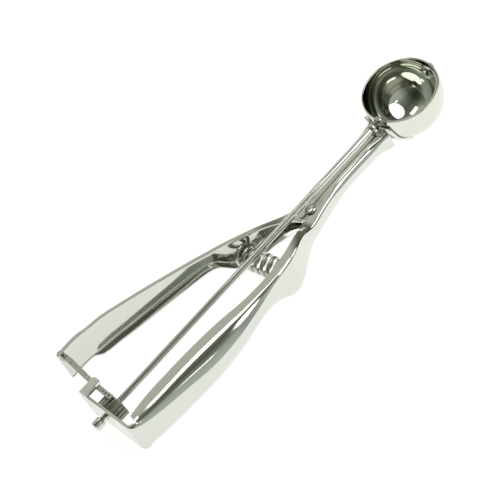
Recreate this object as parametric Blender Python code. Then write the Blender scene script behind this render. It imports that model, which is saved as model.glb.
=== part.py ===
"""Squeeze-handle portion scoop: two pressed steel handles, a rack and pinion, and a sweeping blade.

Everything is modelled in the scoop's own axes, which one empty then lays down on the ground:
+Y runs along the drive shaft towards the bowl, +X points to the fixed handle, and +Z is the way
the bowl opens. The shaft's centre line is X = Z = 0 and the bowl's centre is the origin.
"""
import math

import bmesh
import bpy
import numpy as np
from mathutils import Matrix, Vector

for old_object in list(bpy.data.objects):
    bpy.data.objects.remove(old_object, do_unlink=True)

MM = 0.001
GAP = 0.3                     # free gap kept between pieces that touch

# Bowl
BOWL_OUTER_R = 17.75
BOWL_WALL = 0.8
BOWL_RIM_Z = 4.6
BOWL_INNER_R = BOWL_OUTER_R - BOWL_WALL

# Drive shaft, pinion and what holds them
SHAFT_R = 1.5
SHAFT_FRONT_Y = -14.2
SHAFT_END_Y = -190.9
PINION_TEETH = 18
PINION_PITCH_R = 5.58
PINION_TIP_R = 6.1
PINION_ROOT_R = 4.9
PINION_Y = (-183.9, -178.2)

# Handles: both are pressed from one sheet, and their back edges are what the scoop lies on
SHEET = 1.0
EAR_SHEET = 0.9
SQUEEZE_SQUARENESS = 4.0
SECTION_STEP = 2.6            # spacing of the handles' cross-sections along the scoop
FOOT_Y = -178.5
FOOT_Z = -9.5
END_PLATE_Y = -186.2          # outer face of the fixed handle's end plate
END_CORNER_X = 22.9
CORNER_R = 4.5
END_LIP = 1.4                 # turned edge of the end plate
END_BEND = 1.3
END_SQUARENESS = 8.0

# Pivot between the handles
PIVOT_X = 2.5
PIVOT_Y = -63.8
RIVET_R = 1.5

# Rack: its rungs pass the pinion at this distance from the pivot
RACK_R = 116.4
RACK_PITCH = 2.0 * math.pi * PINION_PITCH_R / PINION_TEETH
RACK_LINE_Y = -179.6
RACK_SWEEP_R = 230.0
RACK_HALF_WIDTH = 1.2
RACK_SPINE = 0.7
RACK_TOP_Z = 7.9
RACK_BODY_Z = 6.4
RUNG_BOTTOM_Z = 5.25
RUNG_WIDTH = 0.7
RUNG_COUNT = 10
STUD_Y = -177.3
STUD_Z = 5.2
STUD_HOLE_R = 1.15

# Scraper blade, resting just under the rim on the fixed handle's side
BLADE_THICK = 0.8
BLADE_WIDTH = 7.0
BLADE_REST = math.radians(2.0)

# Return spring between the handles, behind the shaft
SPRING_OUTER_R = 5.2
SPRING_WIRE_R = 0.65
SPRING_TURNS = 8.5
SPRING_FIXED_END = Vector((18.2, -91.1, -6.9))
SPRING_MOVING_END = Vector((-12.4, -95.2, -6.9))

REST_TILT = math.atan2(BOWL_OUTER_R / math.cos(math.radians(2.6)) + FOOT_Z, -FOOT_Y)

axes_empty = bpy.data.objects.new("scoop_axes", None)
bpy.context.scene.collection.objects.link(axes_empty)


def steel(name, colour, roughness, metallic=1.0):
    """A plain steel finish for one piece."""
    material = bpy.data.materials.new(name)
    material.use_nodes = True
    shader = material.node_tree.nodes["Principled BSDF"]
    shader.inputs["Base Color"].default_value = (*colour, 1.0)
    shader.inputs["Roughness"].default_value = roughness
    shader.inputs["Metallic"].default_value = metallic
    return material


def add_piece(name, bm, colour=(0.78, 0.79, 0.76), roughness=0.12, smooth_angle=35.0):
    """Turn a bmesh drawn in millimetres into a named object in the scoop's axes."""
    bmesh.ops.remove_doubles(bm, verts=bm.verts, dist=1e-4)
    bmesh.ops.recalc_face_normals(bm, faces=bm.faces)
    bmesh.ops.scale(bm, vec=(MM, MM, MM), verts=bm.verts)
    mesh = bpy.data.meshes.new(name)
    bm.to_mesh(mesh)
    bm.free()
    mesh.shade_smooth()
    mesh.set_sharp_from_angle(angle=math.radians(smooth_angle))
    mesh.materials.append(steel(name + "_steel", colour, roughness))
    piece = bpy.data.objects.new(name, mesh)
    bpy.context.scene.collection.objects.link(piece)
    piece.parent = axes_empty
    return piece


def set_origin(piece, point):
    """Move a piece's origin to a point in the scoop's axes, leaving its shape where it is."""
    offset = Vector(point) * MM
    piece.data.transform(Matrix.Translation(-offset))
    piece.location = offset


def hide_cutter(cutter):
    """Keep a cutting or joining shape out of the finished scoop."""
    cutter.hide_render = True
    cutter.display_type = "WIRE"


def boolean(piece, other, operation="DIFFERENCE"):
    """Cut another shape out of a piece, or join it on."""
    modifier = piece.modifiers.new(other.name, "BOOLEAN")
    modifier.operation = operation
    modifier.solver = "EXACT"
    modifier.object = other
    hide_cutter(other)


def turned(profile, steps=32, axis="Y"):
    """Spin a closed profile of (distance along the axis, radius) points into a solid ring."""
    bm = bmesh.new()
    loops = []
    for step in range(steps):
        angle = 2.0 * math.pi * step / steps
        c, s = math.cos(angle), math.sin(angle)
        place = {
            "X": lambda a, r: (a, r * c, r * s),
            "Y": lambda a, r: (r * s, a, r * c),
            "Z": lambda a, r: (r * c, r * s, a),
        }[axis]
        loops.append([bm.verts.new(place(a, r)) for a, r in profile])
    count = len(profile)
    for step in range(steps):
        here, there = loops[step], loops[(step + 1) % steps]
        for i in range(count):
            j = (i + 1) % count
            on_axis = profile[i][1] == 0.0 and profile[j][1] == 0.0
            if not on_axis:
                bm.faces.new((here[i], here[j], there[j], there[i]))
    bmesh.ops.remove_doubles(bm, verts=bm.verts, dist=1e-4)
    return bm


def lofted(sections):
    """Join closed outlines of equal length into one solid, capped at both ends."""
    bm = bmesh.new()
    loops = [[bm.verts.new(point) for point in section] for section in sections]
    for here, there in zip(loops, loops[1:]):
        for i in range(len(here)):
            j = (i + 1) % len(here)
            bm.faces.new((here[i], here[j], there[j], there[i]))
    bm.faces.new(loops[0])
    bm.faces.new(list(reversed(loops[-1])))
    return bm


def block(low, high, name):
    """A plain cutting or joining box."""
    bm = bmesh.new()
    bmesh.ops.create_cube(bm, size=1.0)
    size = [h - l for l, h in zip(low, high)]
    middle = [(h + l) / 2.0 for l, h in zip(low, high)]
    bmesh.ops.scale(bm, vec=size, verts=bm.verts)
    bmesh.ops.translate(bm, vec=middle, verts=bm.verts)
    return add_piece(name, bm)


def rod(start, end, radius, name, steps=24, axis="Y"):
    """A plain cutting rod along one axis through the point (start..end on that axis)."""
    profile = [(start, 0.0), (start, radius), (end, radius), (end, 0.0)]
    return add_piece(name, turned(profile, steps, axis))


def moved(piece, x=0.0, y=0.0, z=0.0):
    """Shift a shape's mesh within the scoop's axes."""
    piece.data.transform(Matrix.Translation(Vector((x, y, z)) * MM))
    return piece


def eased(keys, steps):
    """Rows of values between key rows, on a smooth curve through them (first column rises)."""
    table = np.array(sorted(keys), dtype=float)
    t = table[:, 0]
    slopes = np.gradient(table, t, axis=0)
    rise = np.diff(table, axis=0) / np.diff(t)[:, None]
    for i in range(1, len(t) - 1):
        turning = rise[i - 1] * rise[i] <= 0.0
        slopes[i][turning] = 0.0
        limit = 3.0 * np.minimum(np.abs(rise[i - 1]), np.abs(rise[i]))
        slopes[i] = np.sign(slopes[i]) * np.minimum(np.abs(slopes[i]), limit)
    rows = []
    for i in range(len(t) - 1):
        span = t[i + 1] - t[i]
        pieces = max(1, round(span / steps))
        for k in range(pieces):
            u = k / pieces
            h00 = 2 * u**3 - 3 * u**2 + 1
            h10 = u**3 - 2 * u**2 + u
            h01 = -2 * u**3 + 3 * u**2
            h11 = u**3 - u**2
            row = h00 * table[i] + h01 * table[i + 1]
            row = row + span * (h10 * slopes[i] + h11 * slopes[i + 1])
            row[0] = t[i] + u * span
            rows.append(row)
    rows.append(table[-1])
    return rows


def quarter(across, high, squareness, segments=7):
    """Points (across, high) of a quarter of a rounded corner, from its side end to its top end."""
    points = []
    for i in range(segments + 1):
        angle = math.pi / 2.0 * i / segments
        power = 2.0 / squareness
        points.append((across * math.cos(angle) ** power, high * math.sin(angle) ** power))
    points[0] = (across, 0.0)
    points[-1] = (0.0, high)
    return points


def channel_outline(place, inward, heights, depths, rounds, squareness, sheet=SHEET, splay=0.0):
    """One cross-section of a pressed channel, as a closed outline of points.

    The web stands on the place (x, y), square to the inward direction, between the two heights
    (front z, back z). The front and back flanges reach inwards by their depths, and each turns
    into the web over its round. A low squareness makes the section a half tube, a high one a box.
    """
    front_z, back_z = heights
    front_depth, back_depth = depths
    front_round, back_round = rounds
    middle = (front_z + back_z) / 2.0
    high = (front_z - back_z) / 2.0
    outer, inner = [], []
    for wall, points in ((0.0, outer), (sheet, inner)):
        front = quarter(front_round - wall, high - wall, squareness)
        back = quarter(back_round - wall, high - wall, squareness)
        points.append((front_depth, middle + high - wall + splay))
        points += [(front_round - a, middle + h) for a, h in reversed(front)]
        points += [(back_round - a, middle - h) for a, h in back[1:]]
        points.append((back_depth, middle - high + wall))
    points = outer + inner[::-1]
    return [(place[0] + d * inward[0], place[1] + d * inward[1], z) for d, z in points]


def make_bowl():
    """Deep-drawn bowl: a little more than half a sphere, with a plain rolled rim and two bearings."""
    steps = 14
    bottom = -math.pi / 2.0
    outer_top = math.asin(BOWL_RIM_Z / BOWL_OUTER_R)
    inner_top = math.asin(BOWL_RIM_Z / BOWL_INNER_R)
    outer = []
    inner = []
    for i in range(steps + 1):
        a = bottom + (outer_top - bottom) * i / steps
        outer.append((BOWL_OUTER_R * math.sin(a), BOWL_OUTER_R * math.cos(a)))
        b = bottom + (inner_top - bottom) * i / steps
        inner.append((BOWL_INNER_R * math.sin(b), BOWL_INNER_R * math.cos(b)))
    bowl = add_piece("bowl", turned(outer + inner[::-1], 56, "Z"), roughness=0.05)
    boolean(bowl, rod(-20.0, -14.0, 2.1, "cut_bowl_rear", 20))
    boolean(bowl, rod(14.0, 20.0, 1.4, "cut_bowl_front", 20))
    return bowl


def make_scraper_blade():
    """Spring-steel strip that follows the inside of the bowl, with a hub at each end."""
    outer_r = BOWL_INNER_R - GAP
    inner_r = outer_r - BLADE_THICK
    hub_r = 2.9
    arc = []
    steps = 36
    for i in range(steps + 1):
        a = math.radians(-86.0 + 172.0 * i / steps)
        along, out = math.sin(a), math.cos(a)
        half = min(BLADE_WIDTH / 2.0, 2.3 + 7.0 * out)
        section = []
        corners = ((outer_r, -1), (outer_r, 0), (outer_r, 1), (inner_r, 1), (inner_r, 0), (inner_r, -1))
        for radius, side in corners:
            sink = math.sqrt(max(radius**2 - half**2, 0.0)) if side else radius
            section.append((sink * out, sink * along, side * half))
        arc.append(section)
    blade = add_piece("scraper_blade", lofted(arc), roughness=0.15)
    rear = rod(-outer_r + 0.35, -outer_r + 1.7, hub_r, "join_blade_rear", 30)
    front = rod(outer_r - 1.7, outer_r - 0.35, hub_r, "join_blade_front", 30)
    boolean(blade, rear, "UNION")
    boolean(blade, front, "UNION")
    boolean(blade, rod(-18.0, -12.0, SHAFT_R + GAP, "cut_blade_rear", 22))
    boolean(blade, rod(12.0, 18.0, 1.05, "cut_blade_front", 22))
    blade.rotation_euler.y = -BLADE_REST
    return blade


def make_front_pin():
    """Rivet that carries the blade's front hub in the bowl's wall."""
    profile = [(13.3, 0.0), (13.5, 1.3), (14.7, 1.3), (14.7, 0.75),
               (18.9, 0.75), (19.1, 0.5), (19.1, 0.0)]
    return add_piece("blade_front_pin", turned(profile, 24), roughness=0.2)


def make_front_bushing():
    """Small eyelet pressed into the bowl's front wall, with the pin turning inside it."""
    inside, outside = 1.05, 1.25
    profile = [(16.95, inside), (16.95, outside), (18.2, outside), (18.35, outside + 0.5),
               (18.75, outside + 0.5), (18.75, inside)]
    return add_piece("bowl_front_eyelet", turned(profile, 24), roughness=0.2)


def make_drive_shaft():
    """Bright round rod from the bowl to below the end plate."""
    r = SHAFT_R
    profile = [(SHAFT_END_Y, 0.0), (SHAFT_END_Y, r - 0.2), (SHAFT_END_Y + 0.3, r),
               (SHAFT_FRONT_Y - 0.3, r), (SHAFT_FRONT_Y, r - 0.3), (SHAFT_FRONT_Y, 0.0)]
    return add_piece("drive_shaft", turned(profile, 32), roughness=0.1)


def make_rear_bushing():
    """Flanged bush in the bowl's rear wall that the shaft turns in."""
    bore, body, flange = SHAFT_R + 0.25, SHAFT_R + 0.5, 3.0
    profile = [(-20.6, bore), (-20.6, flange - 0.3), (-20.3, flange), (-19.45, flange),
               (-19.45, body), (-16.9, body), (-16.9, bore)]
    return add_piece("shaft_bushing", turned(profile, 28), roughness=0.25)


def make_pinion():
    """Spur pinion with straight teeth along the shaft."""
    bm = bmesh.new()
    outline = []
    for tooth in range(PINION_TEETH):
        middle = 2.0 * math.pi * tooth / PINION_TEETH
        flank = ((-0.78, PINION_ROOT_R), (-0.60, PINION_ROOT_R), (-0.27, PINION_TIP_R),
                 (0.27, PINION_TIP_R), (0.60, PINION_ROOT_R))
        for half_width, radius in flank:
            a = middle + math.asin(half_width / radius)
            outline.append((radius * math.sin(a), radius * math.cos(a)))
    bore = SHAFT_R + GAP
    inside = [(bore * math.sin(math.atan2(x, z)), bore * math.cos(math.atan2(x, z))) for x, z in outline]
    loops = []
    low, high = PINION_Y
    for y, ring in ((low, outline), (high, outline), (high, inside), (low, inside)):
        loops.append([bm.verts.new((x, y, z)) for x, z in ring])
    count = len(outline)
    for k in range(4):
        here, there = loops[k], loops[(k + 1) % 4]
        for i in range(count):
            j = (i + 1) % count
            bm.faces.new((here[i], here[j], there[j], there[i]))
    return add_piece("pinion_gear", bm, colour=(0.62, 0.64, 0.60), roughness=0.3, smooth_angle=20.0)


def make_thrust_washer():
    """Plain washer between the pinion and the end plate."""
    bore = SHAFT_R + GAP
    profile = [(-184.75, bore), (-184.75, 4.2), (-184.2, 4.2), (-184.2, bore)]
    return add_piece("thrust_washer", turned(profile, 28), roughness=0.3)


def make_end_cap():
    """Blind cap riveted on the shaft's end below the end plate; it stops the shaft lifting out."""
    bore = SHAFT_R + GAP
    bottom, top, r = -192.2, -188.1, 2.4
    profile = [(bottom, 0.0), (bottom, r - 0.4), (bottom + 0.4, r), (top - 0.2, r), (top, r - 0.2),
               (top, bore), (SHAFT_END_Y - GAP, bore), (SHAFT_END_Y - GAP, 0.0)]
    return add_piece("shaft_end_cap", turned(profile, 28), roughness=0.12)


def fixed_handle_sections():
    """Cross-sections of the fixed handle, from its neck down to its end plate."""
    keys = [
        # y,     web x, front z, back z, flanges, rounds, squareness
        (-181.3, 23.0, 8.6, -8.7, 6.5, 6.0, 4.2, 4.2, 2.8),
        (-176.0, 24.2, 8.7, -8.8, 8.4, 7.6, 5.4, 5.2, 2.7),
        (-170.0, 25.0, 8.7, -8.9, 9.7, 8.6, 6.3, 5.8, 2.6),
        (-158.0, 26.3, 8.8, -8.9, 11.0, 9.6, 7.5, 6.8, 2.3),
        (-142.0, 27.4, 8.3, -8.4, 12.0, 10.2, 8.7, 7.6, 2.1),
        (-125.0, 25.9, 6.7, -6.9, 10.2, 8.6, 7.0, 6.2, 2.1),
        (-117.0, 24.3, 5.6, -5.9, 8.2, 7.2, 5.2, 4.8, 2.1),
        (-108.0, 22.5, 4.7, -5.6, 6.4, 6.0, 3.4, 3.2, 2.3),
        (-103.0, 21.6, 4.5, -7.2, 5.6, 5.4, 2.4, 2.4, 2.8),
        (-92.4, 20.0, 4.1, -13.5, 5.2, 5.2, 1.9, 1.9, 4.0),
        (-85.0, 17.9, 3.6, -11.6, 5.0, 5.2, 1.9, 1.9, 3.5),
        (-77.0, 13.5, 1.2, -9.8, 4.5, 6.5, 1.8, 1.8, 2.8),
        (-72.0, 11.2, -1.8, -10.0, 4.6, 10.0, 1.8, 1.8, 2.6),
        (-67.5, 10.0, -3.0, -10.2, 12.5, 12.5, 1.8, 1.8, 2.5),
        (-63.8, 9.0, -3.0, -10.2, 12.6, 12.6, 1.8, 1.8, 2.5),
        (-55.0, 6.9, -3.0, -10.2, 11.5, 11.5, 1.8, 1.8, 2.5),
        (-47.0, 5.9, -3.0, -10.2, 10.4, 10.4, 3.2, 2.8, 2.2),
        (-38.0, 5.6, -3.0, -10.2, 10.2, 10.2, 3.2, 2.8, 2.2),
        (-26.0, 5.7, -3.0, -10.2, 10.4, 10.4, 3.2, 2.8, 2.2),
        (-21.0, 6.4, -2.6, -10.6, 11.4, 11.4, 1.8, 1.8, 2.5),
        (-17.6, 7.6, -1.8, -11.4, 13.0, 13.0, 1.8, 1.8, 2.5),
    ]
    sections = []
    for row in reversed(eased(keys, SECTION_STEP)):
        y, web_x, front_z, back_z, front_flange, back_flange, front_round, back_round, squareness = row
        splay = 0.3 * min(1.0, max(0.0, (-y - 72.0) / 10.0))
        flanges, rounds = (front_flange, back_flange), (front_round, back_round)
        sections.append(channel_outline((web_x, y), (-1.0, 0.0), (front_z, back_z), flanges, rounds,
                                        squareness, splay=splay))
    centre_x, centre_y = END_CORNER_X - CORNER_R, END_PLATE_Y + CORNER_R
    turns = 7
    for i in range(turns + 1):
        angle = math.radians(90.0 * i / turns)
        inward = (-math.cos(angle), math.sin(angle))
        place = (centre_x - CORNER_R * inward[0], centre_y - CORNER_R * inward[1])
        left = max(0.0, 1.0 - i / turns)
        bend = END_BEND + (3.6 - END_BEND) * left
        lip = max(bend + 0.1, END_LIP)
        sections.append(channel_outline(place, inward, (8.6, -8.7), (lip, lip), (bend, bend),
                                        END_SQUARENESS + (2.8 - END_SQUARENESS) * left))
    for x in (12.0, 6.0, 0.0, -6.0, -9.0, -12.0):
        lips, bends = (END_LIP, END_LIP), (END_BEND, END_BEND)
        sections.append(channel_outline((x, END_PLATE_Y), (0.0, 1.0), (8.7, -8.7), lips, bends,
                                        END_SQUARENESS))
    return sections


def saddle_patch():
    """Flared end of the neck that lies against the outside of the bowl."""
    bm = bmesh.new()
    inner_r, outer_r = BOWL_OUTER_R + GAP, BOWL_OUTER_R + GAP + 0.9
    left_edge = -6.4
    rows = [
        # z, half width
        (1.3, 7.2),
        (-0.5, 8.2),
        (-2.7, 8.6),
        (-5.0, 8.6),
        (-7.5, 8.4),
        (-10.0, 8.8),
        (-12.0, 9.4),
        (-13.6, 8.6),
        (-14.6, 6.0),
    ]
    across = 9
    grids = []
    for radius in (inner_r, outer_r):
        grid = []
        for z, half in rows:
            line = []
            for k in range(across):
                x = half * (2.0 * k / (across - 1) - 1.0)
                x = max(x, left_edge)
                scale = radius / inner_r
                y = -math.sqrt(inner_r**2 - x**2 - z**2)
                line.append(bm.verts.new((x * scale, y * scale, z * scale)))
            grid.append(line)
        grids.append(grid)
    for grid in grids:
        for r0, r1 in zip(grid, grid[1:]):
            for k in range(across - 1):
                bm.faces.new((r0[k], r0[k + 1], r1[k + 1], r1[k]))
    last = len(rows) - 1
    rim = [(0, k) for k in range(across)]
    rim += [(r, across - 1) for r in range(1, last + 1)]
    rim += [(last, k) for k in range(across - 2, -1, -1)]
    rim += [(r, 0) for r in range(last - 1, 0, -1)]
    for (r0, k0), (r1, k1) in zip(rim, rim[1:] + rim[:1]):
        bm.faces.new((grids[0][r0][k0], grids[0][r1][k1], grids[1][r1][k1], grids[1][r0][k0]))
    return add_piece("join_saddle", bm)


def make_fixed_handle():
    """Fixed handle, neck and saddle, pressed from one sheet, with the shaft's end plate and rack guide."""
    handle = add_piece("fixed_handle", lofted(fixed_handle_sections()), roughness=0.08, smooth_angle=40.0)
    boolean(handle, saddle_patch(), "UNION")
    boolean(handle, rack_guide(), "UNION")
    boolean(handle, rod(-190.0, -183.0, SHAFT_R + GAP, "cut_end_plate_hole"))
    hole = moved(rod(-12.0, 0.0, RIVET_R + GAP, "cut_fixed_rivet_hole", 24, "Z"), PIVOT_X, PIVOT_Y)
    boolean(handle, hole)
    boolean(handle, ball(BOWL_OUTER_R + GAP - 0.05, "cut_bowl_clearance"))
    boolean(handle, rod(-30.0, -10.0, SHAFT_R + GAP, "cut_neck_shaft_way"))
    boolean(handle, rod(-21.0, -16.0, 3.3, "cut_neck_bush_way"))
    return handle


def rack_guide():
    """Tab of the end plate, bent over the rack to hold it to the pinion, with rounded corners."""
    tab = block((-11.8, -185.9, 8.0), (-6.9, -177.0, 9.0), "join_rack_guide")
    bm = bmesh.new()
    bm.from_mesh(tab.data)
    corners = [e for e in bm.edges if abs(e.verts[0].co.z - e.verts[1].co.z) > 0.5 * MM
               and e.verts[0].co.y > -180.0 * MM]
    bmesh.ops.bevel(bm, geom=corners, offset=1.6 * MM, offset_type="OFFSET", segments=5, profile=0.5,
                    affect="EDGES", clamp_overlap=True)
    bm.to_mesh(tab.data)
    bm.free()
    return tab


def ball(radius, name):
    """A cutting ball about the bowl's centre."""
    bm = bmesh.new()
    bmesh.ops.create_uvsphere(bm, u_segments=48, v_segments=28, radius=radius)
    return add_piece(name, bm)


def squeeze_handle_sections():
    """Cross-sections of the moving handle, from its pivot ears down to its open foot."""
    keys = [
        # y,     web x, front z, back z, front flange, back flange, round
        (-179.4, -35.9, 8.0, FOOT_Z, 2.6, 1.5, 1.4),
        (-172.0, -36.3, 8.1, -9.65, 2.8, 1.6, 1.5),
        (-166.6, -35.9, 8.15, -9.7, 2.9, 1.7, 1.6),
        (-163.6, -35.2, 8.2, -9.75, 3.0, 4.0, 2.3),
        (-155.0, -33.6, 8.3, -9.4, 3.0, 4.6, 2.3),
        (-146.5, -31.1, 7.9, -8.6, 3.0, 4.8, 2.3),
        (-134.0, -27.5, 6.8, -7.0, 3.0, 5.0, 2.3),
        (-122.0, -23.8, 5.6, -5.4, 3.0, 5.2, 2.3),
        (-110.0, -20.2, 4.0, -4.2, 3.0, 5.4, 2.1),
        (-105.6, -18.8, 3.3, -5.4, 3.0, 5.6, 1.9),
        (-101.0, -17.4, 2.8, -11.0, 3.0, 5.8, 1.8),
        (-95.4, -15.5, 2.0, -13.1, 3.0, 6.0, 1.8),
        (-89.0, -13.0, 1.0, -12.6, 3.1, 6.6, 1.8),
        (-84.0, -11.0, 0.2, -10.4, 3.3, 7.2, 1.8),
        (-79.0, -9.5, -1.6, -9.4, 3.6, 8.0, 1.7),
        (-72.0, -7.3, -4.0, -8.8, 6.5, 8.6, 1.6),
        (-69.0, -6.0, -4.3, -8.8, 9.6, 9.6, 1.6),
        (-63.8, -3.9, -4.3, -8.8, 10.6, 10.6, 1.6),
        (-61.0, -3.0, -4.3, -8.8, 8.6, 8.6, 1.6),
        (-59.4, -2.4, -4.3, -8.8, 6.4, 6.4, 1.6),
    ]
    sections = []
    for row in reversed(eased(keys, SECTION_STEP)):
        y, web_x, front_z, back_z, front_flange, back_flange, bend = row
        flanges = (front_flange, back_flange)
        sections.append(channel_outline((web_x, y), (1.0, 0.0), (front_z, back_z), flanges, (bend, bend),
                                        SQUEEZE_SQUARENESS, EAR_SHEET))
    return sections


def make_squeeze_handle():
    """Moving handle: a channel whose ears sit inside the fixed handle's neck."""
    handle = add_piece("squeeze_handle", lofted(squeeze_handle_sections()), roughness=0.1, smooth_angle=40.0)
    hole = moved(rod(-10.0, -3.0, RIVET_R + GAP, "cut_ear_hole", 24, "Z"), PIVOT_X, PIVOT_Y)
    boolean(handle, hole)
    boolean(handle, moved(rod(-40.0, -32.0, STUD_HOLE_R, "cut_stud_hole", 20, "X"), 0.0, STUD_Y, STUD_Z))
    set_origin(handle, (PIVOT_X, PIVOT_Y, 0.0))
    return handle


def make_pivot_rivet():
    """Rivet through both handles, with a low head at the front and a closed head at the back."""
    r = RIVET_R
    profile = [(-11.5, 0.0), (-11.4, 1.6), (-10.9, 2.8), (-10.5, 2.8), (-10.5, r), (-2.7, r),
               (-2.7, 2.6), (-2.4, 2.6), (-2.0, 1.5), (-1.9, 0.0)]
    return moved(add_piece("pivot_rivet", turned(profile, 28, "Z"), roughness=0.12), PIVOT_X, PIVOT_Y)


def make_pivot_spacer():
    """Tube on the rivet that keeps the moving handle's two ears apart."""
    profile = [(-7.6, RIVET_R + GAP), (-7.6, 3.2), (-5.5, 3.2), (-5.5, RIVET_R + GAP)]
    return moved(add_piece("pivot_spacer", turned(profile, 28, "Z"), roughness=0.3), PIVOT_X, PIVOT_Y)


def make_return_spring():
    """Round-wire compression spring with closed ends, trapped between the two handles."""
    bm = bmesh.new()
    run = SPRING_MOVING_END - SPRING_FIXED_END
    length = run.length
    along = run.normalized()
    side = along.cross(Vector((0.0, 0.0, 1.0))).normalized()
    up = side.cross(along).normalized()
    coil_r = SPRING_OUTER_R - SPRING_WIRE_R
    per_turn = 16
    total = int(SPRING_TURNS * per_turn)
    ring_points = 6
    pitch_angle = math.atan2(length / SPRING_TURNS, 2.0 * math.pi * coil_r)
    loops = []
    for i in range(total + 1):
        turn = i / per_turn
        angle = 2.0 * math.pi * turn
        t = i / total
        ease = 0.06 * math.sin(2.0 * math.pi * t)
        travel = SPRING_WIRE_R + (length - 2.0 * SPRING_WIRE_R) * (t - ease)
        radial = up * math.cos(angle) + side * math.sin(angle)
        round_the_coil = side * math.cos(angle) - up * math.sin(angle)
        forward = round_the_coil * math.cos(pitch_angle) + along * math.sin(pitch_angle)
        across = forward.cross(radial).normalized()
        centre = SPRING_FIXED_END + along * travel + radial * coil_r
        ring = []
        for k in range(ring_points):
            a = 2.0 * math.pi * k / ring_points
            ring.append(bm.verts.new(centre + (radial * math.cos(a) + across * math.sin(a)) * SPRING_WIRE_R))
        loops.append(ring)
    for here, there in zip(loops, loops[1:]):
        for i in range(ring_points):
            j = (i + 1) % ring_points
            bm.faces.new((here[i], here[j], there[j], there[i]))
    bm.faces.new(loops[0])
    bm.faces.new(list(reversed(loops[-1])))
    return add_piece("return_spring", bm, colour=(0.6, 0.6, 0.58), roughness=0.25, smooth_angle=60.0)


def rack_line(x):
    """Y of the rack's middle line at a given X."""
    return RACK_LINE_Y + (x - 4.0) ** 2 / (2.0 * RACK_SWEEP_R)


def make_gear_rack():
    """Curved rack: a comb of rungs along a spine, then a plain bar that reaches the moving handle."""
    bm = bmesh.new()
    step = RACK_PITCH / RACK_R
    middle = math.asin(-PIVOT_X / RACK_R)
    half = RUNG_WIDTH / 2.0 / RACK_R

    def on_ray(angle, offset):
        """Point where a ray from the pivot crosses the rack's line moved by an offset in Y."""
        x = PIVOT_X + RACK_R * math.sin(angle)
        for _ in range(4):
            y = rack_line(x) + offset
            x = PIVOT_X + (PIVOT_Y - y) * math.tan(angle)
        return (x, y)

    offsets = (-RACK_HALF_WIDTH, -RACK_HALF_WIDTH + RACK_SPINE, RACK_HALF_WIDTH)
    angles = []
    for k in range(RUNG_COUNT):
        rung = middle + (0.5 - k) * step
        angles += [rung + half, rung - half]
    rows = [[bm.verts.new((*on_ray(a, offset), RACK_BODY_Z)) for a in angles] for offset in offsets]
    rungs = []
    for k in range(len(angles) - 1):
        bm.faces.new((rows[0][k], rows[0][k + 1], rows[1][k + 1], rows[1][k]))
        if k % 2 == 0:
            rungs.append(bm.faces.new((rows[1][k], rows[1][k + 1], rows[2][k + 1], rows[2][k])))
    lower = bmesh.ops.extrude_face_region(bm, geom=list(bm.faces))
    top = [item for item in lower["geom"] if isinstance(item, bmesh.types.BMVert)]
    bmesh.ops.translate(bm, verts=top, vec=(0.0, 0.0, RACK_TOP_Z - RACK_BODY_Z))
    feet = bmesh.ops.extrude_discrete_faces(bm, faces=rungs)
    for foot in feet["faces"]:
        bmesh.ops.translate(bm, verts=foot.verts, vec=(0.0, 0.0, RUNG_BOTTOM_Z - RACK_BODY_Z))
    comb = add_piece("gear_rack", bm, colour=(0.66, 0.66, 0.6), roughness=0.3, smooth_angle=20.0)

    x_start = on_ray(angles[-1], 0.0)[0] + 0.5
    bar = []
    stations = [
        # x, low z, high z
        (x_start, RACK_BODY_Z, RACK_TOP_Z),
        (x_start - 1.5, RACK_BODY_Z, RACK_TOP_Z),
        (-22.0, 6.0, 7.5),
        (-25.6, 5.2, 6.7),
        (-28.2, 4.5, 6.0),
        (-28.6, 3.7, 6.7),
        (-32.0, 3.7, 6.7),
    ]
    for x, low, high in stations:
        y = rack_line(x) if x > -26.0 else STUD_Y
        near, far = y - RACK_HALF_WIDTH, y + RACK_HALF_WIDTH
        bar.append([(x, near, low), (x, far, low), (x, far, high), (x, near, high)])
    boolean(comb, add_piece("join_rack_bar", lofted(bar)), "UNION")
    stud_hole = rod(-32.6, -29.2, STUD_HOLE_R, "cut_rack_stud_hole", 20, "X")
    boolean(comb, moved(stud_hole, 0.0, STUD_Y, STUD_Z))
    set_origin(comb, (PIVOT_X, PIVOT_Y, 0.0))
    return comb


def make_rack_stud():
    """Stud that holds the rack to the moving handle, with its head outside."""
    profile = [(-37.4, 0.0), (-37.3, 0.9), (-36.85, 1.5), (-36.5, 1.5),
               (-36.5, 0.85), (-29.5, 0.85), (-29.5, 0.0)]
    stud = add_piece("rack_stud", turned(profile, 24, "X"), roughness=0.2)
    return moved(stud, 0.0, STUD_Y, STUD_Z)


def make_rack_nut():
    """Small hexagon nut between the handle and the rack."""
    profile = [(-34.8, 1.15), (-34.8, 1.62), (-32.4, 1.62), (-32.4, 1.15)]
    nut = add_piece("rack_nut", turned(profile, 6, "X"), roughness=0.3, smooth_angle=20.0)
    return moved(nut, 0.0, STUD_Y, STUD_Z)


make_bowl()
make_scraper_blade()
make_front_pin()
make_front_bushing()
make_drive_shaft()
make_rear_bushing()
make_pinion()
make_thrust_washer()
make_end_cap()
make_fixed_handle()
make_squeeze_handle()
make_pivot_rivet()
make_pivot_spacer()
make_return_spring()
make_gear_rack()
make_rack_stud()
make_rack_nut()

# Lay the scoop down: it rests on the bowl and on the back edges of both handles
axes_empty.rotation_euler.x = REST_TILT
axes_empty.location = (5.0 * MM, 86.492 * MM, (BOWL_OUTER_R + 0.041) * MM)
bpy.context.view_layer.update()
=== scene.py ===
import math

import bpy
from mathutils import Matrix, Vector


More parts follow.
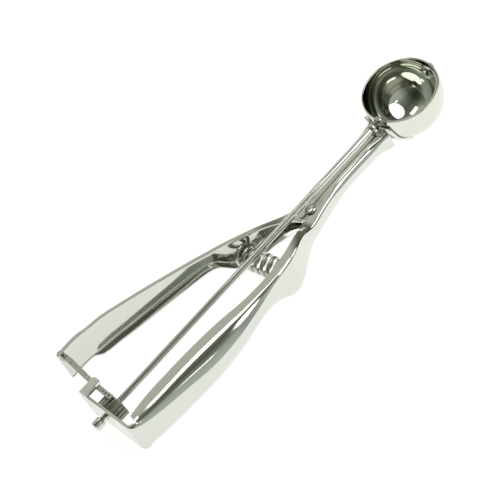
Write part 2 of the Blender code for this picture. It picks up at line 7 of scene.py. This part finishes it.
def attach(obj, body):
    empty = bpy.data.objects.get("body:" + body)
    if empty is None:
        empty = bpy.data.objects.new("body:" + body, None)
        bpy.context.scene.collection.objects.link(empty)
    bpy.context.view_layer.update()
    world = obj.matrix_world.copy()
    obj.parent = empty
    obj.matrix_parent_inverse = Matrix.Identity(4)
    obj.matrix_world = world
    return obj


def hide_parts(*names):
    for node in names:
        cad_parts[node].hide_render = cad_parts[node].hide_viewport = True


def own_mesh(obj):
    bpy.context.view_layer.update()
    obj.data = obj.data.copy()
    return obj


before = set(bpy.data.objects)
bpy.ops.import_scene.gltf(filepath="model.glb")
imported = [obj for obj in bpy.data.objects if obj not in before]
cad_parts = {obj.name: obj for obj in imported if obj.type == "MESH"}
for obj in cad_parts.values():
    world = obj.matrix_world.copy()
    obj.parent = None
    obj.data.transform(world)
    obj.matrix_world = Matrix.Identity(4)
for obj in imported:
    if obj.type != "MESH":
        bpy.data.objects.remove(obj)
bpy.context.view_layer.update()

# The scoop lies tilted on its bowl: its own axes run along the drive shaft (Y), towards the
# fixed handle (X) and out of the bowl's mouth (Z), with the bowl's centre as their origin.
MM = 0.001
TILT = math.radians(2.6521)
BOWL_CENTRE = Vector((0.005, 0.086492, 0.017791))
SCOOP = Matrix.Translation(BOWL_CENTRE) @ Matrix.Rotation(TILT, 4, "X")


# ---- Bowl -----------------------------------------------------------------------------------
# Deep-drawn from stainless sheet, a little over half a ball, then polished to a mirror inside
# and out. The rim is rolled smooth; the shaft's bush and the front eyelet sit in two holes.
def steel_surface_group():
    """Shader group: soft smears, fine polishing lines and a painted highlight that lightens convex edges."""
    group = bpy.data.node_groups.new("steel_surface", "ShaderNodeTree")
    interface = group.interface
    for name, value in (("Smear scale", 90.0), ("Line scale", 900.0), ("Stretch", 0.05),
                        ("Gloss", 0.06), ("Gloss change", 0.05), ("Tone change", 0.05)):
        socket = interface.new_socket(name, in_out="INPUT", socket_type="NodeSocketFloat")
        socket.default_value = value
    interface.new_socket("Tint", in_out="INPUT", socket_type="NodeSocketColor")
    interface.new_socket("Color", in_out="OUTPUT", socket_type="NodeSocketColor")
    interface.new_socket("Roughness", in_out="OUTPUT", socket_type="NodeSocketFloat")
    interface.new_socket("Height", in_out="OUTPUT", socket_type="NodeSocketFloat")
    nodes, links = group.nodes, group.links
    entry, leave = nodes.new("NodeGroupInput"), nodes.new("NodeGroupOutput")
    place = nodes.new("ShaderNodeTexCoord")

    smear = nodes.new("ShaderNodeTexNoise")
    smear.inputs["Detail"].default_value = 3.0
    links.new(place.outputs["Object"], smear.inputs["Vector"])
    links.new(entry.outputs["Smear scale"], smear.inputs["Scale"])

    stretch = nodes.new("ShaderNodeCombineXYZ")
    stretch.inputs["X"].default_value = 1.0
    stretch.inputs["Z"].default_value = 1.0
    links.new(entry.outputs["Stretch"], stretch.inputs["Y"])
    along = nodes.new("ShaderNodeVectorMath")
    along.operation = "MULTIPLY"
    links.new(place.outputs["Object"], along.inputs[0])
    links.new(stretch.outputs["Vector"], along.inputs[1])
    lines = nodes.new("ShaderNodeTexNoise")
    lines.inputs["Detail"].default_value = 2.0
    links.new(along.outputs["Vector"], lines.inputs["Vector"])
    links.new(entry.outputs["Line scale"], lines.inputs["Scale"])

    both = nodes.new("ShaderNodeMath")
    both.operation = "MULTIPLY"
    links.new(smear.outputs["Fac"], both.inputs[0])
    links.new(entry.outputs["Gloss change"], both.inputs[1])
    rough = nodes.new("ShaderNodeMath")
    rough.operation = "ADD"
    links.new(both.outputs["Value"], rough.inputs[0])
    links.new(entry.outputs["Gloss"], rough.inputs[1])
    links.new(rough.outputs["Value"], leave.inputs["Roughness"])

    dim = nodes.new("ShaderNodeMath")
    dim.operation = "MULTIPLY"
    links.new(lines.outputs["Fac"], dim.inputs[0])
    links.new(entry.outputs["Tone change"], dim.inputs[1])
    keep = nodes.new("ShaderNodeMath")
    keep.operation = "SUBTRACT"
    keep.inputs[0].default_value = 1.0
    links.new(dim.outputs["Value"], keep.inputs[1])
    tone = nodes.new("ShaderNodeVectorMath")
    tone.operation = "SCALE"
    links.new(entry.outputs["Tint"], tone.inputs[0])
    links.new(keep.outputs["Value"], tone.inputs["Scale"])

    # Painted highlight: convex edges, found by pointiness, are mixed towards a pale steel colour.
    edges = nodes.new("ShaderNodeNewGeometry")
    edge_glint_amount = nodes.new("ShaderNodeMapRange")
    edge_glint_amount.inputs["From Min"].default_value = 0.53
    edge_glint_amount.inputs["From Max"].default_value = 0.60
    edge_glint_amount.inputs["To Max"].default_value = 0.35
    links.new(edges.outputs["Pointiness"], edge_glint_amount.inputs["Value"])
    edge_glint_mix = nodes.new("ShaderNodeMix")
    edge_glint_mix.data_type = "RGBA"
    edge_glint_mix.inputs["B"].default_value = (0.86, 0.87, 0.84, 1.0)
    links.new(edge_glint_amount.outputs["Result"], edge_glint_mix.inputs["Factor"])
    links.new(tone.outputs["Vector"], edge_glint_mix.inputs["A"])
    links.new(edge_glint_mix.outputs["Result"], leave.inputs["Color"])
    links.new(lines.outputs["Fac"], leave.inputs["Height"])
    return group


STEEL_SURFACE = steel_surface_group()


def steel(name, tint, gloss, gloss_change=0.04, tone_change=0.04, line_scale=900.0, stretch=0.05,
          relief=2e-6):
    """One steel finish; relief is the height in metres of the polishing lines."""
    material = bpy.data.materials.new(name)
    material.use_nodes = True
    nodes, links = material.node_tree.nodes, material.node_tree.links
    shader = nodes["Principled BSDF"]
    shader.inputs["Metallic"].default_value = 1.0
    surface = nodes.new("ShaderNodeGroup")
    surface.node_tree = STEEL_SURFACE
    surface.inputs["Tint"].default_value = (*tint, 1.0)
    surface.inputs["Gloss"].default_value = gloss
    surface.inputs["Gloss change"].default_value = gloss_change
    surface.inputs["Tone change"].default_value = tone_change
    surface.inputs["Line scale"].default_value = line_scale
    surface.inputs["Stretch"].default_value = stretch
    links.new(surface.outputs["Color"], shader.inputs["Base Color"])
    links.new(surface.outputs["Roughness"], shader.inputs["Roughness"])
    bump = nodes.new("ShaderNodeBump")
    bump.inputs["Distance"].default_value = relief
    bump.inputs["Strength"].default_value = 1.0
    links.new(surface.outputs["Height"], bump.inputs["Height"])
    links.new(bump.outputs["Normal"], shader.inputs["Normal"])
    return material


def finish_piece(piece, material, body, slot, *nodes):
    """Set a piece's material, hang it on the body it rides on and hide the nodes it stands for."""
    piece.data.materials.clear()
    piece.data.materials.append(material)
    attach(piece, body)
    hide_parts(*nodes)


def apply_modifiers(piece):
    """Apply a piece's modifiers from the top down."""
    bpy.context.view_layer.objects.active = piece
    for modifier in list(piece.modifiers):
        bpy.ops.object.modifier_apply(modifier=modifier.name)


def scoop_bisect(point, normal):
    """Cut the edited mesh by a plane given in the scoop's axes, and drop the side it points to."""
    bpy.ops.mesh.select_all(action="SELECT")
    bpy.ops.mesh.bisect(plane_co=SCOOP @ (Vector(point) * MM),
                        plane_no=SCOOP.to_3x3() @ Vector(normal), clear_outer=True, use_fill=False)


def add_ball(name, radius, segments, rings):
    """A fine ball about the bowl's centre, its poles on the scoop's Z, left in edit mode."""
    bpy.ops.object.select_all(action="DESELECT")
    bpy.ops.mesh.primitive_uv_sphere_add(segments=segments, ring_count=rings, radius=radius * MM,
                                         location=BOWL_CENTRE, rotation=(TILT, 0.0, 0.0))
    ball = bpy.context.object
    ball.name = name
    bpy.ops.object.transform_apply(location=True, rotation=True, scale=True)
    bpy.ops.object.mode_set(mode="EDIT")
    return ball


def add_rod(name, radius, start, end, vertices=48):
    """A cylinder along the scoop's Y between two distances, with its place applied."""
    bpy.ops.object.select_all(action="DESELECT")
    middle = SCOOP @ Vector((0.0, (start + end) / 2.0 * MM, 0.0))
    bpy.ops.mesh.primitive_cylinder_add(vertices=vertices, radius=radius * MM, depth=abs(end - start) * MM,
                                        location=middle, rotation=(TILT - math.pi / 2.0, 0.0, 0.0))
    cylinder = bpy.context.object
    cylinder.name = name
    bpy.ops.object.transform_apply(location=True, rotation=True, scale=True)
    return cylinder


BOWL_OUTER_R = 17.75
BOWL_WALL = 0.8
BOWL_RIM_Z = 4.6
bowl = add_ball("drawn_bowl", BOWL_OUTER_R, 144, 96)
scoop_bisect((0.0, 0.0, BOWL_RIM_Z), (0.0, 0.0, 1.0))
bpy.ops.object.mode_set(mode="OBJECT")
wall = bowl.modifiers.new("wall", "SOLIDIFY")
wall.thickness = BOWL_WALL * MM
wall.offset = -1.0
rim = bowl.modifiers.new("rim", "BEVEL")
rim.limit_method = "ANGLE"
rim.angle_limit = math.radians(50.0)
rim.width = 0.3 * MM
rim.segments = 4
apply_modifiers(bowl)
for hole_name, hole_r, hole_start, hole_end in (("rear_hole", 2.1, -19.0, -15.0),
                                                ("front_hole", 1.4, 15.0, 19.0)):
    cutter = add_rod(hole_name, hole_r, hole_start, hole_end)
    cut = bowl.modifiers.new(hole_name, "BOOLEAN")
    cut.operation = "DIFFERENCE"
    cut.solver = "EXACT"
    cut.object = cutter
    apply_modifiers(bowl)
    bpy.data.objects.remove(cutter, do_unlink=True)
bpy.ops.object.select_all(action="DESELECT")
bowl.select_set(True)
bpy.context.view_layer.objects.active = bowl
bpy.ops.object.shade_smooth_by_angle(angle=math.radians(40.0))
finish_piece(bowl, steel("mirror_bowl_steel", (0.70, 0.72, 0.65), 0.03, 0.03, 0.04, 300.0, 1.0, 1e-6),
             "frame", "bowl_polished", "bowl")


# ---- Scraper blade ----------------------------------------------------------------------------
# A strip of spring steel bent to the inside of the bowl, narrowed towards its ends, with a
# round hub at each end: the shaft is fixed in the rear one and the front pin in the other.
BLADE_R = BOWL_OUTER_R - BOWL_WALL - 0.3
BLADE_THICK = 0.8
BLADE_HALF = 3.5
BLADE_REST = math.radians(2.0)
blade = add_ball("scraper_strip", BLADE_R, 192, 96)
side = Vector((-math.sin(BLADE_REST), 0.0, math.cos(BLADE_REST)))
out = Vector((math.cos(BLADE_REST), 0.0, math.sin(BLADE_REST)))
scoop_bisect(side * BLADE_HALF, side)
scoop_bisect(-side * BLADE_HALF, -side)
scoop_bisect(out * 1.2, -out)
for end in (-1.0, 1.0):
    for edge in (-1.0, 1.0):
        corner = Vector((0.0, end * 15.2, 0.0)) + side * edge * BLADE_HALF
        slope = Vector((0.0, end * 0.66, 0.0)) + side * edge * 0.75
        scoop_bisect(corner, slope)
bpy.ops.object.mode_set(mode="OBJECT")
thickness = blade.modifiers.new("thickness", "SOLIDIFY")
thickness.thickness = BLADE_THICK * MM
thickness.offset = -1.0
edge_round = blade.modifiers.new("edges", "BEVEL")
edge_round.limit_method = "ANGLE"
edge_round.angle_limit = math.radians(50.0)
edge_round.width = 0.12 * MM
edge_round.segments = 2
apply_modifiers(blade)
for hub_name, hub_start, hub_end in (("rear_hub", -BLADE_R + 0.35, -BLADE_R + 1.7),
                                     ("front_hub", BLADE_R - 1.7, BLADE_R - 0.35)):
    hub = add_rod(hub_name, 2.9, hub_start, hub_end)
    hub_edge = hub.modifiers.new("edge", "BEVEL")
    hub_edge.width = 0.2 * MM
    hub_edge.segments = 3
    hub_edge.limit_method = "ANGLE"
    apply_modifiers(hub)
    join = blade.modifiers.new(hub_name, "BOOLEAN")
    join.operation = "UNION"
    join.solver = "EXACT"
    join.object = hub
    apply_modifiers(blade)
    bpy.data.objects.remove(hub, do_unlink=True)
for bore_name, bore_r, bore_start, bore_end in (("rear_bore", 1.8, -18.0, -12.0),
                                                ("front_bore", 1.05, 12.0, 18.0)):
    bore = add_rod(bore_name, bore_r, bore_start, bore_end)
    cut = blade.modifiers.new(bore_name, "BOOLEAN")
    cut.operation = "DIFFERENCE"
    cut.solver = "EXACT"
    cut.object = bore
    apply_modifiers(blade)
    bpy.data.objects.remove(bore, do_unlink=True)
bpy.ops.object.select_all(action="DESELECT")
blade.select_set(True)
bpy.context.view_layer.objects.active = blade
bpy.ops.object.shade_smooth_by_angle(angle=math.radians(35.0))
finish_piece(blade, steel("blade_spring_steel", (0.66, 0.67, 0.60), 0.09, 0.05, 0.06, 700.0, 0.3),
             "scraper", "blade_spring_steel", "scraper_blade")


# ---- Fixed handle -------------------------------------------------------------------------------
# One pressing of 1 mm sheet from the saddle on the bowl down to the end plate: a half tube,
# buffed bright. Its sheared edges are broken by the polishing wheel.
def pressed_copy(node, name, edge_radius, corner_angle=35.0, smooth_angle=40.0, segments=2):
    """A merged copy of a node's shape with its sharp edges rounded and its faces smoothed."""
    bpy.ops.object.select_all(action="DESELECT")
    piece = bpy.data.objects.new(name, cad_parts[node].data.copy())
    bpy.context.scene.collection.objects.link(piece)
    piece.select_set(True)
    bpy.context.view_layer.objects.active = piece
    if piece.data.has_custom_normals:
        bpy.ops.mesh.customdata_custom_splitnormals_clear()
    bpy.ops.object.mode_set(mode="EDIT")
    bpy.ops.mesh.select_all(action="SELECT")
    bpy.ops.mesh.remove_doubles(threshold=2e-6)
    bpy.ops.mesh.tris_convert_to_quads(face_threshold=math.radians(12.0), shape_threshold=math.radians(60.0))
    bpy.ops.mesh.normals_make_consistent(inside=False)
    bpy.ops.object.mode_set(mode="OBJECT")
    if edge_radius > 0.0:
        rounding = piece.modifiers.new("edges", "BEVEL")
        rounding.limit_method = "ANGLE"
        rounding.angle_limit = math.radians(corner_angle)
        rounding.width = edge_radius * MM
        rounding.segments = segments
        rounding.miter_outer = "MITER_ARC"
        apply_modifiers(piece)
    bpy.ops.object.shade_smooth_by_angle(angle=math.radians(smooth_angle))
    return piece


fixed_handle = pressed_copy("fixed_handle", "fixed_handle_pressing", 0.18)
finish_piece(fixed_handle,
             steel("buffed_handle_steel", (0.71, 0.725, 0.675), 0.07, 0.05, 0.05, 1400.0, 0.04),
             "frame", "handle_polished", "fixed_handle")


# ---- Squeeze handle -----------------------------------------------------------------------------
# The moving handle, pressed from the same sheet as a shallow channel, with two ears that reach
# into the neck and turn on the pivot rivet.
squeeze_handle = pressed_copy("squeeze_handle", "squeeze_handle_pressing", 0.16)
# Painted shade: this steel is the fixed handle's, tinted a little darker.
finish_piece(squeeze_handle,
             steel("squeeze_steel_painted_shade", (0.68, 0.69, 0.645), 0.08, 0.06, 0.06, 1400.0, 0.04),
             "squeeze", "handle_polished", "squeeze_handle")


# ---- Drive shaft and its small fittings -----------------------------------------------------------
# Bright drawn rod with a bush at the bowl, a washer under the pinion and a blind cap riveted on
# its end; the blade's front pin turns in an eyelet in the bowl's front wall.
BRIGHT_ROD = steel("bright_rod_steel", (0.70, 0.71, 0.66), 0.08, 0.05, 0.05, 1500.0, 0.02)
TURNED_STEEL = steel("turned_rivet_steel", (0.68, 0.69, 0.64), 0.14, 0.08, 0.06, 900.0, 1.0)
SATIN_STEEL = steel("satin_cut_steel", (0.45, 0.47, 0.40), 0.28, 0.12, 0.16, 1300.0, 0.3, 8e-6)
small_fittings = (
    ("drive_shaft", "shaft_rod", BRIGHT_ROD, "scraper", "shaft_polished", 0.05),
    ("shaft_end_cap", "shaft_blind_cap", BRIGHT_ROD, "scraper", "shaft_polished", 0.08),
    ("blade_front_pin", "front_pin_rivet", TURNED_STEEL, "scraper", "rivet_steel", 0.06),
    ("bowl_front_eyelet", "front_wall_eyelet", TURNED_STEEL, "frame", "rivet_steel", 0.05),
    ("shaft_bushing", "rear_wall_bush", TURNED_STEEL, "frame", "rivet_steel", 0.08),
    ("thrust_washer", "pinion_washer", SATIN_STEEL, "frame", "gear_steel", 0.06),
    ("pivot_rivet", "handle_pivot_rivet", TURNED_STEEL, "frame", "rivet_steel", 0.08),
    ("pivot_spacer", "ear_spacer_tube", SATIN_STEEL, "frame", "gear_steel", 0.06),
    ("rack_stud", "rack_fixing_stud", TURNED_STEEL, "squeeze", "rivet_steel", 0.08),
    ("rack_nut", "rack_fixing_nut", SATIN_STEEL, "squeeze", "gear_steel", 0.1),
)
for node, piece_name, material, body, slot_name, radius in small_fittings:
    finish_piece(pressed_copy(node, piece_name, radius), material, body, slot_name, node)


# ---- Pinion and rack ------------------------------------------------------------------------------
# A cut pinion on the shaft and a stamped rack of rungs that the squeeze handle pulls across it.
# Both keep the satin grey of the cutting and stamping.
TOOTH_ANGLE = 30.0
pinion = pressed_copy("pinion_gear", "cut_pinion", 0.07, TOOTH_ANGLE, TOOTH_ANGLE)
finish_piece(pinion, SATIN_STEEL, "scraper", "gear_steel", "pinion_gear")
rack = pressed_copy("gear_rack", "stamped_rack", 0.1, TOOTH_ANGLE, TOOTH_ANGLE)
finish_piece(rack, SATIN_STEEL, "squeeze", "gear_steel", "gear_rack")


# ---- Return spring --------------------------------------------------------------------------------
# Round spring wire coiled between the two handles; it pushes the squeeze handle open, and in the real scoop
# it shortens as the handles close. Here the coil is built at one length.
WIRE_R = 0.75
COIL_R = 4.45
COIL_TURNS = 8.5
COIL_STEPS = 238
SPRING_START = Vector((18.2, -91.1, -6.9))
SPRING_END = Vector((-12.4, -95.2, -6.9))
run = SPRING_END - SPRING_START
bpy.ops.object.select_all(action="DESELECT")
bpy.ops.mesh.primitive_circle_add(vertices=12, radius=WIRE_R * MM, location=(COIL_R * MM, 0.0, WIRE_R * MM),
                                  rotation=(math.pi / 2.0, 0.0, 0.0))
spring = bpy.context.object
spring.name = "coiled_return_spring"
bpy.ops.object.transform_apply(location=True, rotation=True, scale=True)
coil = spring.modifiers.new("coil", "SCREW")
coil.angle = 2.0 * math.pi * COIL_TURNS
coil.screw_offset = run.length * MM - 2.0 * WIRE_R * MM
coil.steps = COIL_STEPS
coil.render_steps = COIL_STEPS
coil.use_merge_vertices = False
apply_modifiers(spring)
bpy.ops.object.mode_set(mode="EDIT")
bpy.ops.mesh.select_mode(type="EDGE")
bpy.ops.mesh.select_all(action="DESELECT")
bpy.ops.mesh.select_non_manifold()
bpy.ops.mesh.extrude_region_move()
bpy.ops.mesh.merge(type="COLLAPSE")
bpy.ops.mesh.select_all(action="SELECT")
bpy.ops.mesh.normals_make_consistent(inside=False)
bpy.ops.object.mode_set(mode="OBJECT")
spring_turn = run.to_track_quat("Z", "Y").to_matrix().to_4x4()
spring.matrix_world = SCOOP @ Matrix.Translation(SPRING_START * MM) @ spring_turn
bpy.ops.object.transform_apply(location=True, rotation=True, scale=True)
bpy.ops.object.shade_smooth_by_angle(angle=math.radians(60.0))
finish_piece(spring, steel("spring_wire_steel", (0.52, 0.53, 0.47), 0.14, 0.06, 0.08, 1200.0, 1.0),
             "frame", "spring_wire", "return_spring")
# the turning point is within 0.3 mm of the rivet's middle
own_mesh(spring)


# ---- Studio ---------------------------------------------------------------------------------------
# A white floor that glows a little, a round soft light near the bowl, a long one over the
# handles, a small window, and a plain room that is dark overhead and at its two ends.
bpy.ops.object.select_all(action="DESELECT")
bpy.ops.mesh.primitive_plane_add(size=24.0, location=(0.0, 0.0, 0.0))
floor = bpy.context.object
floor.name = "white_floor"
floor_paint = bpy.data.materials.new("white_floor_paint")
floor_paint.use_nodes = True
floor_shader = floor_paint.node_tree.nodes["Principled BSDF"]
floor_shader.inputs["Base Color"].default_value = (0.55, 0.55, 0.53, 1.0)
floor_shader.inputs["Emission Color"].default_value = (1.0, 1.0, 1.0, 1.0)
floor_shader.inputs["Emission Strength"].default_value = 0.85
floor_shader.inputs["Roughness"].default_value = 0.8
floor_shader.inputs["Specular IOR Level"].default_value = 0.1
floor.data.materials.append(floor_paint)


def direction(elevation, azimuth):
    """Unit vector for an elevation and an azimuth (from X towards Y), in degrees."""
    e, a = math.radians(elevation), math.radians(azimuth)
    return Vector((math.cos(e) * math.cos(a), math.cos(e) * math.sin(a), math.sin(e)))


def soft_light(name, shape, target, towards, distance, width, length, brightness):
    """An area light at a distance from a target, its length along the scoop, evenly bright."""
    lamp = bpy.data.lights.new(name, "AREA")
    lamp.shape = shape
    lamp.size = width
    lamp.size_y = length
    lamp.energy = 4.0 * width * length * (math.pi / 4.0 if shape == "DISK" else 1.0) * brightness
    holder = bpy.data.objects.new(name, lamp)
    bpy.context.scene.collection.objects.link(holder)
    long_way = (Vector((0.0, 1.0, 0.0)) - towards * towards.y).normalized()
    turned = Matrix((long_way.cross(towards), long_way, towards)).transposed().to_4x4()
    holder.matrix_world = Matrix.Translation(target + towards * distance) @ turned


soft_light("round_soft_light", "DISK", BOWL_CENTRE, direction(53.0, 56.0), 0.38, 0.34, 0.34, 1.5)
GRIP_MIDDLE = SCOOP @ Vector((0.024, -0.142, 0.0))
soft_light("strip_over_handles", "RECTANGLE", GRIP_MIDDLE, direction(67.0, 143.0), 0.45, 0.08, 0.20, 1.6)
soft_light("small_window", "RECTANGLE", BOWL_CENTRE, direction(47.0, 9.0), 3.0, 0.2, 0.5, 1.6)

world = bpy.data.worlds.new("plain_room")
bpy.context.scene.world = world
world.use_nodes = True
room_nodes, room_links = world.node_tree.nodes, world.node_tree.links
ways = room_nodes.new("ShaderNodeTexCoord")
parts = room_nodes.new("ShaderNodeSeparateXYZ")
room_links.new(ways.outputs["Generated"], parts.inputs["Vector"])
around = room_nodes.new("ShaderNodeMath")
around.operation = "ARCTAN2"
room_links.new(parts.outputs["Z"], around.inputs[0])
room_links.new(parts.outputs["X"], around.inputs[1])
share = room_nodes.new("ShaderNodeMath")
share.operation = "DIVIDE"
share.inputs[1].default_value = math.pi
room_links.new(around.outputs["Value"], share.inputs[0])


def room_ramp(source, stops):
    """A colour ramp for the room, from a list of places and colours."""
    ramp = room_nodes.new("ShaderNodeValToRGB")
    ends = ramp.color_ramp.elements
    ends[0].position, ends[1].position = stops[0][0], stops[-1][0]
    ends[0].color, ends[1].color = (*stops[0][1], 1.0), (*stops[-1][1], 1.0)
    for position, colour in stops[1:-1]:
        ends.new(position).color = (*colour, 1.0)
    room_links.new(source, ramp.inputs["Fac"])
    return ramp.outputs["Color"]


walls = room_ramp(share.outputs["Value"], (
    (0.0, (0.52, 0.55, 0.52)), (0.17, (0.46, 0.50, 0.47)), (0.27, (0.37, 0.40, 0.37)),
    (0.34, (0.20, 0.22, 0.19)), (0.44, (0.10, 0.11, 0.085)), (0.54, (0.16, 0.17, 0.14)),
    (0.60, (0.34, 0.35, 0.30)), (0.66, (0.54, 0.54, 0.48)), (1.0, (0.58, 0.58, 0.52))))
halfway = room_nodes.new("ShaderNodeMath")
halfway.operation = "MULTIPLY_ADD"
halfway.inputs[1].default_value = 0.5
halfway.inputs[2].default_value = 0.5
room_links.new(parts.outputs["Y"], halfway.inputs[0])
ends_dim = room_ramp(halfway.outputs["Value"], (
    (0.0, (0.30, 0.31, 0.28)), (0.18, (0.28, 0.29, 0.26)), (0.38, (1.0, 1.0, 1.0)), (0.70, (1.0, 1.0, 1.0)),
    (0.85, (0.26, 0.27, 0.24)), (1.0, (0.24, 0.25, 0.22))))
room_tone = room_nodes.new("ShaderNodeMixRGB")
room_tone.blend_type = "MULTIPLY"
room_tone.inputs["Fac"].default_value = 1.0
room_links.new(walls, room_tone.inputs["Color1"])
room_links.new(ends_dim, room_tone.inputs["Color2"])
room_links.new(room_tone.outputs["Color"], room_nodes["Background"].inputs["Color"])
room_nodes["Background"].inputs["Strength"].default_value = 1.0
bpy.context.scene.view_settings.view_transform = "Standard"

# Camera: above the fixed handle's side, a metre off, the scoop running up to the right
AZIMUTH, ELEVATION, ROLL = math.radians(70.693), math.radians(48.854), math.radians(-32.301)
towards_camera = Vector((math.cos(ELEVATION) * math.sin(AZIMUTH), -math.cos(ELEVATION) * math.cos(AZIMUTH),
                         math.sin(ELEVATION)))
level = (-towards_camera).cross(Vector((0.0, 0.0, 1.0))).normalized()
upright = level.cross(-towards_camera)
right = level * math.cos(ROLL) + upright * math.sin(ROLL)
up = upright * math.cos(ROLL) - level * math.sin(ROLL)
camera_place = Vector((0.0, -86.4, 0.0)) - 7.422 * right - 3.468 * up + 1000.0 * towards_camera
camera_matrix = Matrix((right, up, towards_camera)).transposed().to_4x4()
camera_matrix.translation = camera_place * MM
lens = bpy.data.cameras.new("camera")
lens.sensor_width = 36.0
lens.lens = 173.24
camera = bpy.data.objects.new("camera", lens)
bpy.context.scene.collection.objects.link(camera)
camera.matrix_world = SCOOP @ camera_matrix
bpy.context.scene.camera = camera
